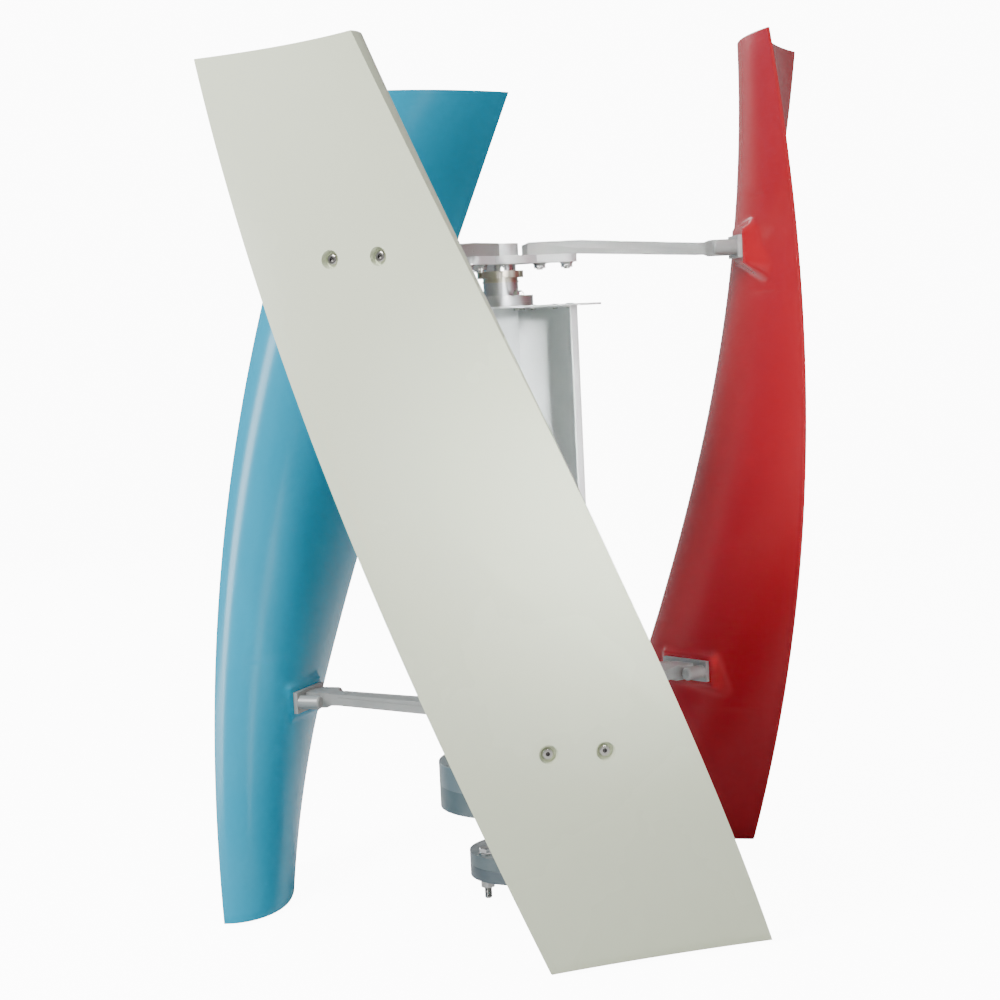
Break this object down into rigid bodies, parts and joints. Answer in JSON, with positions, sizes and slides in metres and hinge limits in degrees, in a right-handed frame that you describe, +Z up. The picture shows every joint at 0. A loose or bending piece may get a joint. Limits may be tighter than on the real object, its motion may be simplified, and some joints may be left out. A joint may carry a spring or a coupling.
{
  "type": "vertical axis turbine",
  "caption": "Vertical axis wind turbine with slanted hollow blades on cast arms, a two-scoop starting rotor and a flat disc generator on a mast flange.",
  "frame": {"origin": "centre of the mast flange's lower face, on the axis of rotation", "axes": "+Z up along the axis of rotation; -Y is the side the white blade is on; +X is to the right of it"},
  "size_m": [0.7782, 0.7749, 1.052],
  "materials": {
    "white_gelcoat": "gloss",
    "red_gelcoat": "gloss",
    "blue_gelcoat": "gloss",
    "cast_arm": "satin cast",
    "generator_alloy": "satin",
    "turned_steel": "turned",
    "machined_alloy": "turned",
    "zinc_plate": "plated",
    "scoop_sheet": "satin sheet",
    "stainless": "polished",
    "ground_steel": "ground",
    "dark_screw": "black oxide",
    "rubber_black": "matte",
    "stator_resin": "matte",
    "copper_wire": "enamelled",
    "magnet_plate": "nickel plated",
    "cage_nylon": "matte"
  },
  "bodies": {
    "base": {"mast_flange": "turned_steel", "flange_bolts": "stainless", "flange_washers": "stainless", "flange_nuts": "stainless", "generator_base": "generator_alloy", "generator_cover": "generator_alloy", "cover_screws": "dark_screw", "stator": "stator_resin", "stator_coils": "copper_wire", "upper_bearing_outer_ring": "ground_steel", "upper_bearing_balls": "ground_steel", "upper_bearing_cage": "cage_nylon", "lower_bearing_outer_ring": "ground_steel", "lower_bearing_balls": "ground_steel", "lower_bearing_cage": "cage_nylon", "shaft_seal": "rubber_black", "wiring_grommet": "rubber_black"},
    "rotor": {"upper_bearing_inner_ring": "ground_steel", "lower_bearing_inner_ring": "ground_steel", "shaft": "ground_steel", "lower_magnet_disc": "ground_steel", "upper_magnet_disc": "ground_steel", "lower_magnets": "magnet_plate", "upper_magnets": "magnet_plate", "disc_spacer": "ground_steel", "disc_nut": "ground_steel", "shaft_rings": "ground_steel", "lower_hub": "machined_alloy", "upper_hub": "machined_alloy", "hub_screws": "stainless", "hub_nuts": "stainless", "tab_washers": "zinc_plate", "lower_lock_nut": "zinc_plate", "upper_lock_nut": "zinc_plate", "lower_spider": "cast_arm", "upper_spider": "cast_arm", "grub_screws": "dark_screw", "lower_scoop_plate": "scoop_sheet", "upper_scoop_plate": "scoop_sheet", "front_scoop": "scoop_sheet", "rear_scoop": "scoop_sheet", "scoop_rivets": "stainless", "upper_arm_white": "cast_arm", "upper_arm_red": "cast_arm", "upper_arm_blue": "cast_arm", "lower_arm_white": "cast_arm", "lower_arm_red": "cast_arm", "lower_arm_blue": "cast_arm", "blade_white": "white_gelcoat", "blade_red": "red_gelcoat", "blade_blue": "blue_gelcoat", "blade_sleeves": "stainless", "upper_arm_bolts": "stainless", "upper_arm_nuts": "stainless", "lower_arm_bolts": "stainless", "lower_arm_nuts": "stainless", "upper_blade_bolts": "stainless", "lower_blade_bolts": "stainless"}
  },
  "joints": [
    {"name": "rotor_spin", "type": "hinge", "parent": "base", "child": "rotor", "pos_m": [0, 0, 0.17], "axis": [0, 0, 1], "continuous": true}
  ]
}
